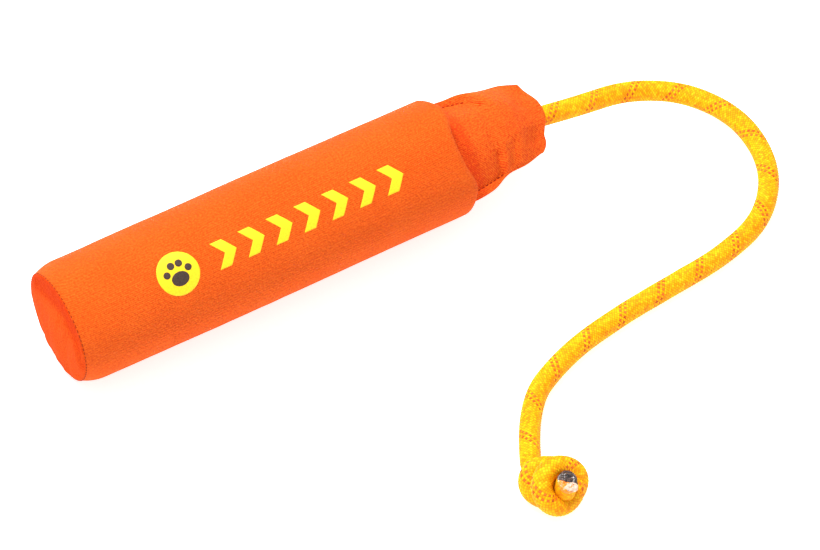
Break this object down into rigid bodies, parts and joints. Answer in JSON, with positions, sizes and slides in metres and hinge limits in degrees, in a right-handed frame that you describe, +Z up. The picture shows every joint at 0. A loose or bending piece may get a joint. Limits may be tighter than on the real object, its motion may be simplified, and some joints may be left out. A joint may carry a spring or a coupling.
{
  "type": "training bumper",
  "caption": "Floating dog training bumper: a foam-filled fabric roll with a sewn hood at one end, from which a braided throw rope runs to a hand knot.",
  "frame": {"origin": "under the middle of the sewn bumper, on the surface it lies on, rope not counted", "axes": "+X along the roll from the closed end to the hood and rope, +Z up, +Y to the side away from the print"},
  "size_m": [0.3532, 0.2211, 0.0571],
  "materials": {
    "cover_cloth": "woven, matte",
    "foam": "closed-cell foam, matte",
    "thread": "sewing thread",
    "rope_sheath": "braided, satin",
    "rope_core": "core strands, matte",
    "melted_end": "heat-sealed, glossy lumps",
    "print_yellow": "screen print",
    "print_dark": "screen print"
  },
  "bodies": {
    "bumper": {"anchor_knot": "rope_sheath", "anchor_rope_stub": "rope_sheath", "anchor_tail": "rope_sheath", "cover_body_panel": "cover_cloth", "cover_seam_stitches": "thread", "end_cap_panel": "cover_cloth", "end_cap_stitches": "thread", "foam_core": "foam", "hood_base_stitches": "thread", "hood_lower_panel": "cover_cloth", "hood_side_stitches_back": "thread", "hood_side_stitches_front": "thread", "hood_upper_panel": "cover_cloth", "print_badge_field": "print_yellow", "print_badge_paw": "print_dark", "print_chevrons": "print_yellow", "shoulder_panel": "cover_cloth"},
    "throw_rope": {"rope_sheath": "rope_sheath", "rope_core": "rope_core", "hand_knot": "rope_sheath", "hand_knot_tail": "rope_sheath", "hand_end_seal": "melted_end", "hand_end_core": "rope_core"}
  },
  "joints": [
    {"name": "rope_swing", "type": "hinge", "parent": "bumper", "child": "throw_rope", "pos_m": [0.136, 0, 0.02687], "axis": [0, 0, 1], "range_deg": [-40, 60]}
  ]
}
